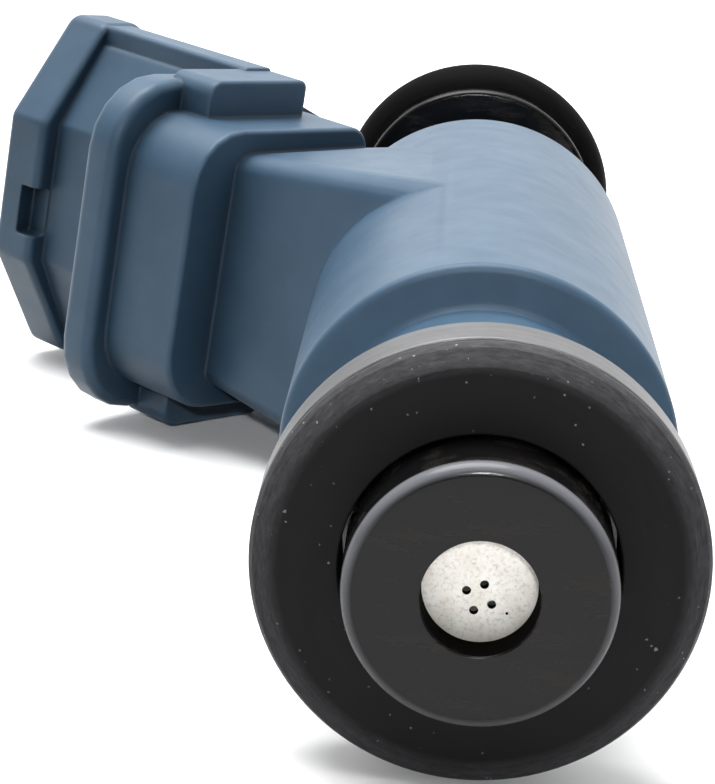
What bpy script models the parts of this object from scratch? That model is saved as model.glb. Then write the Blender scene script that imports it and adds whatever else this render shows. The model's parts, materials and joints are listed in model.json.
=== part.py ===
"""Top-feed fuel injector with an angled two-pin connector, lying on its seals.

Metres, +Z up. The injector's own axis runs along +Y, from the nozzle face to the
fuel inlet. A station is a distance along that axis, counted from the nozzle face.
"""

import math

import bmesh
import bpy
from mathutils import Matrix, Vector

MM = 0.001
GAP = 0.3 * MM              # clearance kept between pieces that touch
RUNNING_GAP = 0.08 * MM     # radial clearance of the guided needle and armature

# Driving dimensions
SEAL_RADIUS = 7.3 * MM      # both seals
BODY_RADIUS = 7.2 * MM
NECK_RADIUS = 5.55 * MM
CAP_RADIUS = 4.3 * MM
CAP_BORE_RADIUS = 1.85 * MM
TUBE_RADIUS = 3.2 * MM      # valve tube, non-magnetic ring and fixed core
FUEL_BORE_RADIUS = 1.5 * MM
TIP_RADIUS = 3.1 * MM

SEAL_FRONT = 2.5 * MM       # stations along the axis
RING_FRONT = 3.6 * MM
RING_BACK = 5.6 * MM
NECK_FRONT = 5.9 * MM
SHOULDER = 14.5 * MM
BODY_END = 47.0 * MM
COLLAR_END = 55.0 * MM
UPPER_SEAL_STATION = 64.9 * MM
INLET_END = 68.3 * MM

HOUSING_FRONT = 16.3 * MM   # solenoid
HOUSING_BACK = 36.0 * MM
HOUSING_RADIUS = 6.1 * MM
AIR_GAP = 23.2 * MM         # where the armature meets the fixed core
LIFT = 0.1 * MM

HOLE_RADIUS = 0.14 * MM     # metering disc
HOLE_CIRCLE = 0.45 * MM
HOLE_PATTERN_CENTRE = (0.05 * MM, -0.45 * MM)
HOLE_ANGLES = (78.0, 159.0, 258.0, 339.0)

BALL_RADIUS = 1.25 * MM
BALL_STATION = 4.85 * MM
SPRING_FRONT = AIR_GAP - 1.85 * MM
SPRING_BACK = 33.6 * MM
SPRING_MEAN_RADIUS = 1.05 * MM
SPRING_WIRE_RADIUS = 0.17 * MM
SPRING_TURNS = 9

# Connector: c runs out along its mouth, q towards the nozzle side, t across the pins
CONNECTOR_STATION = 33.1 * MM
CONNECTOR_TILT = math.radians(40.0)     # from square to the axis, towards the inlet
MOUTH = 27.8 * MM
RIM_HALF_WIDTH = 8.3 * MM
RIM_THICKNESS = 2.6 * MM
SHELL_WALL = 1.0 * MM
RIM_PROUD = 0.95 * MM
SOCKET_FLOOR = 18.6 * MM
SHOULDER_BLOCK = (11.2 * MM, 17.3 * MM)
LIP_THICKNESS = 1.9 * MM
PLATE_START = 13.6 * MM
PLATE_HALF_HEIGHT = RIM_HALF_WIDTH - 0.23 * MM
NECK_WIDTH = 9.2 * MM
NECK_START = -1.9 * MM      # the neck leaves the barrel just past its crown, flush with it
NECK_HALF_HEIGHTS = (6.9 * MM, 5.2 * MM)       # at the barrel and at the shoulder block
PIN_PITCH = 4.6 * MM
PIN_SIZE = (0.6 * MM, 1.5 * MM)
PIN_TIP = 23.0 * MM
PIN_BEND = 7.4 * MM         # where each terminal turns from the coil towards the mouth
PIN_FOOT = 2.8 * MM
PIN_ROW = -1.9 * MM         # where the two terminals lie along q

ROUND_STEPS = 48
SMALL_STEPS = 28


def clear_scene():
    for old in list(bpy.data.objects):
        bpy.data.objects.remove(old, do_unlink=True)


def material(name, color, roughness, metallic=0.0):
    made = bpy.data.materials.new(name)
    made.use_nodes = True
    shader = made.node_tree.nodes["Principled BSDF"]
    shader.inputs["Base Color"].default_value = (*color, 1.0)
    shader.inputs["Roughness"].default_value = roughness
    shader.inputs["Metallic"].default_value = metallic
    return made


def finish(bm, name, look):
    """Turns a bmesh into a smooth-shaded object with its sharp edges kept."""
    bmesh.ops.recalc_face_normals(bm, faces=bm.faces)
    mesh = bpy.data.meshes.new(name)
    bm.to_mesh(mesh)
    bm.free()
    mesh.shade_smooth()
    mesh.set_sharp_from_angle(angle=math.radians(32.0))
    made = bpy.data.objects.new(name, mesh)
    made.data.materials.append(look)
    bpy.context.collection.objects.link(made)
    return made


def turned(name, outline, look, steps=ROUND_STEPS):
    """A closed outline of (station, radius) points spun round the injector's axis."""
    bm = bmesh.new()
    points = [bm.verts.new((radius, station, 0.0)) for station, radius in outline]
    edges = []
    for start, end in zip(points, points[1:] + points[:1]):
        if start.co.x > 0.0 or end.co.x > 0.0:
            edges.append(bm.edges.new((start, end)))
    bmesh.ops.spin(
        bm, geom=points + edges, cent=(0, 0, 0), axis=(0, 1, 0),
        angle=math.tau, steps=steps, use_merge=True,
    )
    bmesh.ops.remove_doubles(bm, verts=bm.verts, dist=1e-7)
    return finish(bm, name, look)


def sleeve(name, front, back, inner, outer, look, steps=SMALL_STEPS):
    outline = [(front, inner), (front, outer), (back, outer), (back, inner)]
    return turned(name, outline, look, steps)


def arc(center, radius, start, end, steps):
    """Points on an arc in the (station, radius) plane, angles in degrees from +station."""
    points = []
    for k in range(steps + 1):
        angle = math.radians(start + (end - start) * k / steps)
        points.append((center[0] + radius * math.cos(angle), center[1] + radius * math.sin(angle)))
    return points


def torus(name, station, mean, section, look, steps=SMALL_STEPS, sides=12):
    ring = arc((station, mean), section, 0.0, 360.0 - 360.0 / sides, sides - 1)
    return turned(name, ring, look, steps)


def prism(name, outline, low, high, look):
    """An outline of (q, t) points swept along c, in the connector's own frame."""
    bm = bmesh.new()
    base = [bm.verts.new((low, q, t)) for q, t in outline]
    face = bm.faces.new(base)
    swept = bmesh.ops.extrude_face_region(bm, geom=[face])
    moved = [item for item in swept["geom"] if isinstance(item, bmesh.types.BMVert)]
    bmesh.ops.translate(bm, verts=moved, vec=(high - low, 0, 0))
    return finish(bm, name, look)


def rounded(outline, radii, steps=3):
    """The same closed outline with each corner replaced by an arc of its own radius."""
    result = []
    count = len(outline)
    for k, radius in enumerate(radii):
        corner = Vector(outline[k])
        before = (Vector(outline[k - 1]) - corner).normalized()
        after = (Vector(outline[(k + 1) % count]) - corner).normalized()
        half = before.angle(after) / 2
        inset = radius / math.tan(half)
        middle = corner + (before + after).normalized() * radius / math.sin(half)
        first = corner + before * inset - middle
        last = corner + after * inset - middle
        turn = first.angle_signed(last)
        for j in range(steps + 1):
            offset = first.copy()
            offset.rotate(Matrix.Rotation(-turn * j / steps, 2))
            result.append(tuple(middle + offset))
    return result


def boolean(target, other, operation):
    cut = target.modifiers.new(other.name, "BOOLEAN")
    cut.operation = operation
    cut.object = other
    cut.solver = "EXACT"
    other.hide_render = True
    other.display_type = "WIRE"


def box(name, low, high, look):
    bm = bmesh.new()
    bmesh.ops.create_cube(bm, size=1.0)
    for vert in bm.verts:
        vert.co = [low[i] + (high[i] - low[i]) * (vert.co[i] + 0.5) for i in range(3)]
    return finish(bm, name, look)


# Nozzle end

def nozzle_cap(look):
    front = arc((0.42 * MM, 3.8 * MM), 0.42 * MM, 180.0, 100.0, 4)
    outline = [(0.0, CAP_BORE_RADIUS), *front]
    outline += [(1.4 * MM, CAP_RADIUS), (5.4 * MM, CAP_RADIUS)]
    outline += [(5.4 * MM, TIP_RADIUS + GAP), (1.15 * MM, TIP_RADIUS + GAP)]
    outline += [(1.15 * MM, CAP_BORE_RADIUS - 0.05 * MM)]
    return turned("nozzle_cap", outline, look)


def orifice_disc(look):
    """The metering disc: four fine holes at the corners of a slanted square."""
    disc = turned(
        "orifice_disc",
        [(1.45 * MM, 0.0), (1.45 * MM, 3.0 * MM), (1.75 * MM, 3.0 * MM), (1.75 * MM, 0.0)],
        look,
    )
    bm = bmesh.new()
    for x, z in hole_centres():
        place = Matrix.Translation((x, 1.6 * MM, z)) @ Matrix.Rotation(math.pi / 2, 4, "X")
        bmesh.ops.create_cone(
            bm, cap_ends=True, segments=10, radius1=HOLE_RADIUS, radius2=HOLE_RADIUS,
            depth=1.0 * MM, matrix=place,
        )
    drills = finish(bm, "orifice_drills", look)
    boolean(disc, drills, "DIFFERENCE")
    return [disc, drills]


def hole_centres():
    for angle in HOLE_ANGLES:
        x = HOLE_PATTERN_CENTRE[0] + HOLE_CIRCLE * math.cos(math.radians(angle))
        z = HOLE_PATTERN_CENTRE[1] + HOLE_CIRCLE * math.sin(math.radians(angle))
        yield x, z


def lower_seal(look):
    """A rubber ring with a bevelled front edge and a narrower spigot inside the steel ring."""
    flange_back = RING_FRONT - 0.35 * MM
    inner = CAP_RADIUS + 0.15 * MM
    spigot = 6.1 * MM
    outline = [(SEAL_FRONT, inner), (SEAL_FRONT, 6.6 * MM), (SEAL_FRONT + 0.34 * MM, 7.16 * MM)]
    outline += [(SEAL_FRONT + 0.58 * MM, SEAL_RADIUS), (flange_back, SEAL_RADIUS)]
    outline += [(flange_back, spigot), (RING_BACK, spigot), (RING_BACK, inner)]
    return turned("lower_seal", outline, look)


def steel_ring(look):
    outer = SEAL_RADIUS
    bevel = 0.1 * MM
    outline = [(RING_FRONT, 6.4 * MM), (RING_FRONT, outer - bevel), (RING_FRONT + bevel, outer)]
    outline += [(RING_BACK - bevel, outer), (RING_BACK, outer - bevel), (RING_BACK, 6.4 * MM)]
    return turned("seal_ring", outline, look)


# Valve and needle

def valve_body(look):
    """The steel tube that carries the seat, the cap and the lower half of the magnetic path."""
    front = 2.05 * MM
    outline = [(front, 2.6 * MM), (front, TIP_RADIUS), (5.7 * MM, TIP_RADIUS), (5.7 * MM, 4.6 * MM)]
    outline += [(15.2 * MM, 4.6 * MM), (15.2 * MM, TUBE_RADIUS)]
    outline += [(AIR_GAP - 2.4 * MM, TUBE_RADIUS), (AIR_GAP - 2.4 * MM, 2.6 * MM)]
    return turned("valve_body", outline, look, SMALL_STEPS)


def valve_seat(look):
    """A hardened insert with a cone for the ball and a short outlet bore."""
    outline = [(2.05 * MM, 0.45 * MM), (2.05 * MM, 2.3 * MM), (4.9 * MM, 2.3 * MM)]
    outline += [(4.9 * MM, 1.9 * MM), (3.0 * MM, 0.45 * MM)]
    return turned("valve_seat", outline, look, SMALL_STEPS)


def valve_ball(look):
    bm = bmesh.new()
    place = Matrix.Translation((0, BALL_STATION, 0)) @ Matrix.Rotation(math.pi / 2, 4, "X")
    bmesh.ops.create_uvsphere(bm, u_segments=16, v_segments=10, radius=BALL_RADIUS, matrix=place)
    return finish(bm, "valve_ball", look)


def needle_tube(look):
    """The tube between ball and armature, with the collar that meets the lift stop."""
    outer = 0.8 * MM
    bore = 0.4 * MM
    front = BALL_STATION + BALL_RADIUS + 0.05 * MM
    outline = [(front, bore), (front, outer), (7.9 * MM, outer), (7.9 * MM, 1.35 * MM)]
    outline += [(8.55 * MM, 1.35 * MM), (8.55 * MM, outer), (16.0 * MM, outer), (16.0 * MM, bore)]
    return turned("needle_tube", outline, look, 24)


def ball_guide(look):
    return sleeve("ball_guide", 5.2 * MM, 6.3 * MM, BALL_RADIUS + RUNNING_GAP, 2.3 * MM, look)


def lift_stop(look):
    return sleeve("lift_stop", 8.55 * MM + LIFT + 0.05 * MM, 9.6 * MM, 0.95 * MM, 2.3 * MM, look)


def armature(look):
    """The moving iron core, with a through bore and a counterbore for the spring."""
    outer = 2.6 * MM - RUNNING_GAP
    front = 16.2 * MM
    back = AIR_GAP - LIFT - 0.05 * MM
    outline = [(front, 0.5 * MM), (front, 1.9 * MM), (front + 0.8 * MM, outer)]
    outline += [(back, outer), (back, 1.45 * MM), (back - 2.0 * MM, 1.45 * MM)]
    outline += [(back - 2.0 * MM, 0.5 * MM)]
    return turned("armature", outline, look, SMALL_STEPS)


def return_spring(look):
    """A helix whose first and last turns close up flat."""
    curve = bpy.data.curves.new("return_spring", "CURVE")
    curve.dimensions = "3D"
    curve.bevel_depth = SPRING_WIRE_RADIUS
    curve.bevel_resolution = 1
    curve.use_fill_caps = True
    per_turn = 12
    count = SPRING_TURNS * per_turn + 1
    line = curve.splines.new("POLY")
    line.points.add(count - 1)
    low = SPRING_FRONT + SPRING_WIRE_RADIUS
    high = SPRING_BACK - SPRING_WIRE_RADIUS
    end_pitch = 2.6 * SPRING_WIRE_RADIUS
    inner_rise = (high - low - 2 * end_pitch) / (SPRING_TURNS - 2)
    for k in range(count):
        turn = k / per_turn
        if turn < 1.0:
            station = low + end_pitch * turn
        elif turn < SPRING_TURNS - 1.0:
            station = low + end_pitch + inner_rise * (turn - 1.0)
        else:
            station = high - end_pitch * (SPRING_TURNS - turn)
        angle = math.tau * turn
        x = SPRING_MEAN_RADIUS * math.cos(angle)
        z = SPRING_MEAN_RADIUS * math.sin(angle)
        line.points[k].co = (x, station, z, 1.0)
    made = bpy.data.objects.new("return_spring", curve)
    made.data.materials.append(look)
    bpy.context.collection.objects.link(made)
    return made


def adjusting_sleeve(look):
    """A slit sleeve pressed into the core's bore, which sets the spring's load."""
    front = SPRING_BACK + 0.3 * MM
    made = sleeve("adjusting_sleeve", front, front + 8.0 * MM, 0.85 * MM, 1.38 * MM, look, 24)
    slit = box(
        "adjusting_slit", (-0.2 * MM, front - MM, 0.3 * MM),
        (0.2 * MM, front + 9.0 * MM, 2.0 * MM), look,
    )
    boolean(made, slit, "DIFFERENCE")
    return [made, slit]


# Magnetic circuit

def nonmagnetic_ring(look):
    return sleeve(
        "nonmagnetic_ring", AIR_GAP - 2.2 * MM, AIR_GAP - 0.1 * MM, 2.6 * MM, TUBE_RADIUS, look,
    )


def inlet_tube(look):
    """Fixed core and inlet in one tube, widened behind the body to carry the upper seal."""
    front = AIR_GAP + 0.1 * MM
    pocket = 2.75 * MM
    outline = [(front, FUEL_BORE_RADIUS), (front, TUBE_RADIUS), (COLLAR_END + 0.6 * MM, TUBE_RADIUS)]
    outline += [(COLLAR_END + 1.6 * MM, 3.6 * MM), (66.9 * MM, 3.6 * MM), (66.9 * MM, 4.1 * MM)]
    outline += [(INLET_END - 0.25 * MM, 4.1 * MM), (INLET_END, 3.85 * MM), (INLET_END, pocket)]
    outline += [(55.8 * MM, pocket), (54.2 * MM, FUEL_BORE_RADIUS)]
    return turned("inlet_tube", outline, look)


def coil_bobbin(look):
    """A spool whose flanges are counterbored for the two fuel seals."""
    front = HOUSING_FRONT + 1.3 * MM
    back = HOUSING_BACK - 1.7 * MM
    flange = 5.3 * MM
    hub = 3.9 * MM
    thick = 1.5 * MM
    seal_bore = 4.3 * MM
    depth = 1.2 * MM
    bore = TUBE_RADIUS + GAP
    outline = [(front, seal_bore), (front, flange), (front + thick, flange), (front + thick, hub)]
    outline += [(back - thick, hub), (back - thick, flange), (back, flange), (back, seal_bore)]
    outline += [(back - depth, seal_bore), (back - depth, bore)]
    outline += [(front + depth, bore), (front + depth, seal_bore)]
    return turned("coil_bobbin", outline, look, SMALL_STEPS)


def coil_winding(look):
    """The enamelled winding, its outer layer ridged by the wire."""
    front = HOUSING_FRONT + 3.1 * MM
    back = HOUSING_BACK - 3.5 * MM
    inner = 4.15 * MM
    ridges = 18
    pitch = (back - front) / ridges
    outline = [(back, inner), (front, inner)]
    for k in range(ridges):
        outline.append((front + k * pitch, 5.05 * MM))
        outline.append((front + (k + 0.5) * pitch, 5.2 * MM))
    outline.append((back, 5.05 * MM))
    return turned("coil_winding", outline, look, 24)


def solenoid_housing(look):
    """The steel can round the coil, closed at its nozzle end."""
    inner = HOUSING_RADIUS - 0.5 * MM
    bore = TUBE_RADIUS + GAP
    outline = [(HOUSING_FRONT, bore), (HOUSING_FRONT, HOUSING_RADIUS), (HOUSING_BACK, HOUSING_RADIUS)]
    outline += [(HOUSING_BACK, inner), (HOUSING_FRONT + 1.0 * MM, inner)]
    outline += [(HOUSING_FRONT + 1.0 * MM, bore)]
    return turned("solenoid_housing", outline, look, SMALL_STEPS)


def flux_washer(look):
    return sleeve(
        "flux_washer", HOUSING_BACK - 1.4 * MM, HOUSING_BACK - 0.3 * MM,
        TUBE_RADIUS + GAP, HOUSING_RADIUS - 0.8 * MM, look,
    )


# Inlet end

def backup_ring(look):
    outline = [(61.7 * MM, 3.9 * MM), (61.7 * MM, 6.0 * MM), (61.95 * MM, 6.3 * MM)]
    outline += [(62.7 * MM, 6.3 * MM), (62.7 * MM, 3.9 * MM)]
    return turned("backup_ring", outline, look)


def seal_retainer(look):
    outline = [(66.85 * MM, 4.4 * MM), (66.85 * MM, 5.9 * MM), (67.6 * MM, 5.9 * MM)]
    outline += [(67.9 * MM, 5.6 * MM), (67.9 * MM, 4.4 * MM)]
    return turned("seal_retainer", outline, look)


def filter_frame(look):
    """A plastic basket with three windows, open towards the inlet."""
    front = 56.0 * MM
    back = 65.4 * MM
    outer = 2.45 * MM
    inner = 2.0 * MM
    floor = front + 0.8 * MM
    outline = [(front, 0.0), (front, outer), (back, outer), (back, inner), (floor, inner), (floor, 0.0)]
    frame = turned("filter_frame", outline, look, 24)
    made = [frame]
    for k in range(3):
        window = box(
            f"filter_window_{k + 1}", (0.6 * MM, front + 1.8 * MM, -1.35 * MM),
            (4.0 * MM, back - 1.8 * MM, 1.35 * MM), look,
        )
        window.rotation_euler.y = math.radians(120.0 * k)
        boolean(frame, window, "DIFFERENCE")
        made.append(window)
    return made


def filter_mesh(look):
    """The fine mesh bag, as a thin cup inside the basket."""
    front = 57.1 * MM
    back = 64.9 * MM
    outline = [(front, 0.0), (front, 1.7 * MM), (back, 1.7 * MM), (back, 1.5 * MM)]
    outline += [(front + 0.2 * MM, 1.5 * MM), (front + 0.2 * MM, 0.0)]
    return turned("filter_mesh", outline, look, 20)


def filter_ring(look):
    return sleeve("filter_ring", 65.7 * MM, 68.0 * MM, 1.9 * MM, 2.5 * MM, look)


# Moulded body and connector

def body_core(look):
    """The turned part of the moulding: neck, main barrel and the collar on the inlet tube."""
    edge = 0.25 * MM
    outline = [(NECK_FRONT, 0.0), (NECK_FRONT, NECK_RADIUS), (SHOULDER, NECK_RADIUS)]
    outline += [(SHOULDER, BODY_RADIUS - edge), (SHOULDER + edge, BODY_RADIUS)]
    outline += arc((BODY_END - 0.5 * MM, BODY_RADIUS - 0.5 * MM), 0.5 * MM, 90.0, 0.0, 3)
    outline += [(BODY_END, 5.3 * MM), (COLLAR_END - 0.3 * MM, 5.1 * MM), (COLLAR_END, 4.8 * MM)]
    outline += [(COLLAR_END, 0.0)]
    return turned("body_housing", outline, look)


def body_hollow(look):
    """The space inside the moulding: valve body, then solenoid housing, then inlet tube."""
    core_front = HOUSING_FRONT - 0.7 * MM
    core_back = HOUSING_BACK + 3.8 * MM
    core = HOUSING_RADIUS + GAP
    tube = TUBE_RADIUS + GAP
    outline = [(NECK_FRONT - MM, 0.0), (NECK_FRONT - MM, 4.9 * MM), (core_front, 4.9 * MM)]
    outline += [(core_front, core), (core_back, core), (core_back, tube)]
    outline += [(COLLAR_END + MM, tube), (COLLAR_END + MM, 0.0)]
    hollow = turned("body_hollow", outline, look)
    hollow.rotation_euler.y = math.pi / ROUND_STEPS
    return hollow


def rim_outline(inset):
    """The connector's six-sided section, with flats on the nozzle side and the far side."""
    near = 3.4 * MM - inset
    far = -7.2 * MM + inset
    peak = RIM_HALF_WIDTH - inset
    outline = [(near, -3.4 * MM), (near, 3.4 * MM), (0.2 * MM, peak), (-1.8 * MM, peak)]
    outline += [(far, 5.6 * MM), (far, -5.6 * MM), (-1.8 * MM, -peak), (0.2 * MM, -peak)]
    radius = max(0.7 * MM - inset * 0.2, 0.3 * MM)
    return rounded(outline, [radius] * len(outline), 2)


def slab(near, far, half, near_radius, far_radius):
    """A rectangle of (q, t) points, its nozzle-side corners rounder than its far ones."""
    outline = [(near, -half), (near, half), (far, half), (far, -half)]
    return rounded(outline, [near_radius, near_radius, far_radius, far_radius])


def neck_block(look):
    """The neck: flush with the barrel's crown where it starts, and lower at the shoulder block."""
    first, last = NECK_HALF_HEIGHTS
    section = slab(NECK_WIDTH / 2, -NECK_WIDTH / 2, first, MM, MM)
    end = SHOULDER_BLOCK[0] + MM
    lean_sin, lean_cos = math.sin(CONNECTOR_TILT), math.cos(CONNECTOR_TILT)
    bm = bmesh.new()
    inner = [bm.verts.new((-(NECK_START + q * lean_sin) / lean_cos, q, t)) for q, t in section]
    outer = [bm.verts.new((end, q, t * last / first)) for q, t in section]
    bm.faces.new(inner)
    bm.faces.new(outer)
    count = len(section)
    for k in range(count):
        after = (k + 1) % count
        bm.faces.new((inner[k], inner[after], outer[after], outer[k]))
    bmesh.ops.triangulate(bm, faces=bm.faces)
    return finish(bm, "neck_block", look)


def connector_solids(look):
    """The blocks that grow out of the barrel: neck, shoulder block with its lip, shell and rim."""
    block_low, block_high = SHOULDER_BLOCK
    pieces = [
        neck_block(look),
        prism("shoulder_block", slab(7.0 * MM, -4.0 * MM, 6.4 * MM, 2.7 * MM, 1.2 * MM),
              block_low, block_high - 0.5 * MM, look),
        prism("shoulder_lip", slab(8.0 * MM, -3.7 * MM, 7.7 * MM, 3.3 * MM, 0.8 * MM),
              block_high - LIP_THICKNESS, block_high, look),
        prism("backing_plate", slab(4.3 * MM, -1.9 * MM, PLATE_HALF_HEIGHT, 0.7 * MM, 0.4 * MM),
              PLATE_START, block_high - MM, look),
        prism("shell", rim_outline(RIM_PROUD), block_high - 1.2 * MM, MOUTH - 0.5 * MM, look),
        prism("rim", rim_outline(0.0), MOUTH - RIM_THICKNESS, MOUTH, look),
    ]
    for side in (1, -1):
        top = RIM_HALF_WIDTH - 0.1 * MM
        ridge = [(0.1 * MM, side * 6.9 * MM), (0.1 * MM, side * top)]
        ridge += [(-1.7 * MM, side * top), (-1.7 * MM, side * 6.9 * MM)]
        name = "upper_ridge" if side > 0 else "lower_ridge"
        pieces.append(prism(name, ridge, block_high - 1.5 * MM, MOUTH - 0.7 * MM, look))
    return pieces


def socket_cutter(look):
    wall = RIM_PROUD + SHELL_WALL
    return prism("socket", rim_outline(wall), SOCKET_FLOOR, MOUTH + 2.0 * MM, look)


def rim_notch(look):
    """A small catch recess in the back edge of the rim, on the nozzle side."""
    back = MOUTH - RIM_THICKNESS
    low = (back - 0.5 * MM, 3.4 * MM - RIM_PROUD + 0.1 * MM, -2.2 * MM)
    return box("rim_notch", low, (back + 1.1 * MM, 4.4 * MM, 0.2 * MM), look)


def terminal_pin(name, side, look):
    """A flat blade: a foot parallel to the injector's axis, then a run out to a tapered tip."""
    tilt = CONNECTOR_TILT
    taper = 0.8 * MM
    foot = (
        PIN_BEND - PIN_FOOT * math.sin(tilt),
        PIN_ROW + PIN_FOOT * math.cos(tilt),
    )
    bend_angle = (math.pi / 2 - tilt) / 2
    across = (-math.sin(-bend_angle), math.cos(-bend_angle))
    stages = [
        (foot, (math.cos(tilt), math.sin(tilt)), 1.0),
        ((PIN_BEND, PIN_ROW), across, 1.0 / math.cos(bend_angle)),
        ((PIN_TIP - taper, PIN_ROW), (0.0, 1.0), 1.0),
        ((PIN_TIP, PIN_ROW), (0.0, 1.0), 0.45),
    ]
    bm = bmesh.new()
    rings = []
    for (c, q), (side_c, side_q), scale in stages:
        half_q = PIN_SIZE[0] / 2 * scale
        half_t = PIN_SIZE[1] / 2 * min(scale, 1.0)
        ring = []
        for dq, dt in ((-1, -1), (1, -1), (1, 1), (-1, 1)):
            corner = (c + side_c * dq * half_q, q + side_q * dq * half_q)
            ring.append(bm.verts.new((*corner, side * PIN_PITCH / 2 + dt * half_t)))
        rings.append(ring)
    for first, second in zip(rings, rings[1:]):
        for k in range(4):
            bm.faces.new((first[k], first[(k + 1) % 4], second[(k + 1) % 4], second[k]))
    bm.faces.new(rings[0])
    bm.faces.new(rings[-1])
    return finish(bm, name, look)


def pin_channel(name, side, look):
    """The slot that a terminal passes through in the moulding."""
    margin = 0.2 * MM
    half_q = PIN_SIZE[0] / 2 + margin
    half_t = PIN_SIZE[1] / 2 + margin
    low = (PIN_BEND - 0.4 * MM, PIN_ROW - half_q, side * PIN_PITCH / 2 - half_t)
    high = (SOCKET_FLOOR + MM, PIN_ROW + half_q, side * PIN_PITCH / 2 + half_t)
    return box(name, low, high, look)


def connector_frame():
    """An empty on the injector's axis whose X points out of the connector's mouth."""
    frame = bpy.data.objects.new("connector_frame", None)
    frame.location = (0, CONNECTOR_STATION, 0)
    frame.rotation_euler.z = math.pi - CONNECTOR_TILT
    bpy.context.collection.objects.link(frame)
    return frame


def body_housing(look):
    """The barrel with the connector joined on and its hollows cut out."""
    body = body_core(look)
    joined = connector_solids(look)
    hollow = body_hollow(look)
    socket = socket_cutter(look)
    notch = rim_notch(look)
    channels = [pin_channel("channel_upper", 1, look), pin_channel("channel_lower", -1, look)]
    for piece in joined:
        boolean(body, piece, "UNION")
    for cutter in (hollow, socket, notch, *channels):
        boolean(body, cutter, "DIFFERENCE")
    return body, [hollow], joined + [socket, notch] + channels


def world_points(item):
    """Every vertex of an object as it looks with its modifiers, in world space."""
    graph = bpy.context.evaluated_depsgraph_get()
    seen = item.evaluated_get(graph)
    points = [seen.matrix_world @ vert.co for vert in seen.to_mesh().vertices]
    seen.to_mesh_clear()
    return points


def rest_roll(body):
    """The roll about the axis at which the connector touches the floor under both seals."""
    bpy.context.view_layer.update()
    rolls = []
    for point in world_points(body):
        reach = math.hypot(point.x, point.z)
        if point.x < 0.0 and reach > SEAL_RADIUS:
            rolls.append(-math.atan2(point.z, -point.x) - math.asin(SEAL_RADIUS / reach))
    return max(rolls)


def bottom_centre(objects):
    """The middle of the assembly's plan, at the height of its lowest point."""
    bpy.context.view_layer.update()
    points = [point for item in objects for point in world_points(item)]
    low = [min(point[i] for point in points) for i in range(3)]
    high = [max(point[i] for point in points) for i in range(3)]
    return Vector(((low[0] + high[0]) / 2, (low[1] + high[1]) / 2, low[2]))


def main():
    clear_scene()
    black_plastic = material("black_plastic", (0.03, 0.03, 0.033), 0.42)
    blue_plastic = material("blue_plastic", (0.075, 0.125, 0.18), 0.5)
    brown_plastic = material("brown_plastic", (0.09, 0.045, 0.02), 0.5)
    white_plastic = material("natural_plastic", (0.62, 0.6, 0.54), 0.5)
    rubber = material("rubber", (0.018, 0.018, 0.019), 0.6)
    steel = material("steel", (0.5, 0.5, 0.5), 0.32, 1.0)
    bright_steel = material("bright_steel", (0.72, 0.71, 0.68), 0.28, 1.0)
    copper = material("copper_wire", (0.6, 0.22, 0.1), 0.35, 1.0)
    brass = material("brass", (0.65, 0.5, 0.22), 0.3, 1.0)
    mesh_steel = material("filter_steel", (0.4, 0.4, 0.4), 0.45, 1.0)

    frame = bpy.data.objects.new("injector_frame", None)
    bpy.context.collection.objects.link(frame)
    socket_frame = connector_frame()
    socket_frame.parent = frame

    body, body_cutters, connector_pieces = body_housing(blue_plastic)
    pins = [
        terminal_pin("terminal_pin_upper", 1, brass),
        terminal_pin("terminal_pin_lower", -1, brass),
    ]
    for piece in connector_pieces + pins:
        piece.parent = socket_frame
    disc, drills = orifice_disc(bright_steel)
    adjuster, slit = adjusting_sleeve(steel)
    basket, *windows = filter_frame(white_plastic)
    axial = [
        nozzle_cap(black_plastic),
        lower_seal(rubber),
        steel_ring(steel),
        valve_body(steel),
        valve_seat(bright_steel),
        ball_guide(steel),
        valve_ball(bright_steel),
        needle_tube(steel),
        lift_stop(steel),
        armature(steel),
        return_spring(steel),
        nonmagnetic_ring(bright_steel),
        inlet_tube(steel),
        coil_bobbin(brown_plastic),
        coil_winding(copper),
        solenoid_housing(steel),
        flux_washer(steel),
        torus("coil_seal_lower", HOUSING_FRONT + 1.9 * MM, 3.75 * MM, 0.4 * MM, rubber, 24, 8),
        torus("coil_seal_upper", HOUSING_BACK - 2.3 * MM, 3.75 * MM, 0.4 * MM, rubber, 24, 8),
        backup_ring(black_plastic),
        torus("upper_seal", UPPER_SEAL_STATION, 5.55 * MM, 1.75 * MM, rubber, 48, 12),
        seal_retainer(black_plastic),
        filter_mesh(mesh_steel),
        filter_ring(brass),
    ]
    axial += [body, disc, adjuster, basket]
    for piece in axial + body_cutters + [drills, slit, *windows]:
        piece.parent = frame

    frame.rotation_euler.y = rest_roll(body)
    frame.location = -bottom_centre(axial + pins)


main()
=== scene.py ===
"""The looks of a top-feed fuel injector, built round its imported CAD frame.

Everything is in metres. A station is a distance from the nozzle face along the
injector's own axis, and a radius is a distance from that axis. The connector has a
frame of its own: c runs out along its mouth, q towards the nozzle, t across the pins.
"""
import json
import math

import bmesh
import bpy
from mathutils import Matrix, Vector


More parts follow.
